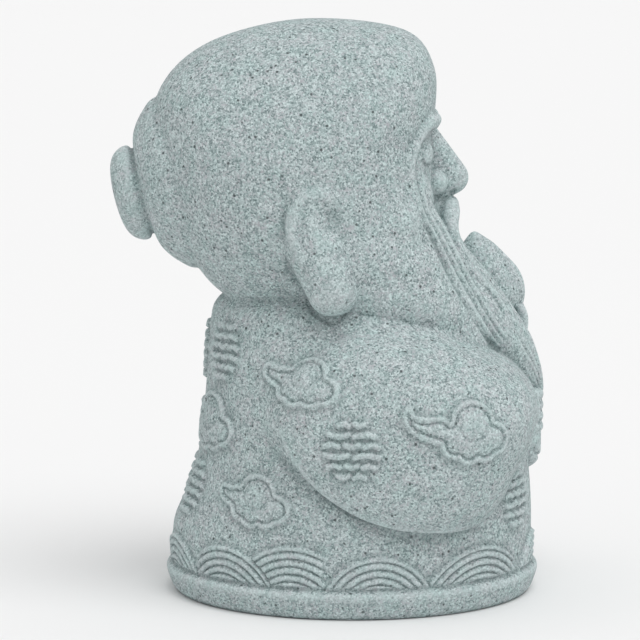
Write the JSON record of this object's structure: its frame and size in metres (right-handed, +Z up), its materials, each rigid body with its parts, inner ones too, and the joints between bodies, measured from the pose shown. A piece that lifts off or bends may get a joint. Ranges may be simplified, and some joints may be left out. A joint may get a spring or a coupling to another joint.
{
  "type": "longevity god statue",
  "caption": "Squat sandstone figurine of the longevity god: high domed head, long ears and beard, peach in hand, robe with cloud and wave reliefs, round foot.",
  "frame": {"origin": "centre of the flat underside of the round foot", "axes": "+Z up to the crown of the head; the figure faces -Y; its right-hand side, the one in the picture, is -X"},
  "size_m": [0.087, 0.0919, 0.1203],
  "materials": {
    "sandstone": "matt, pale grey-green, unpainted: sand bound in resin, with light, dark and faintly lilac grains about half a millimetre across"
  },
  "bodies": {
    "root": {"statue": "sandstone"}
  },
  "joints": []
}
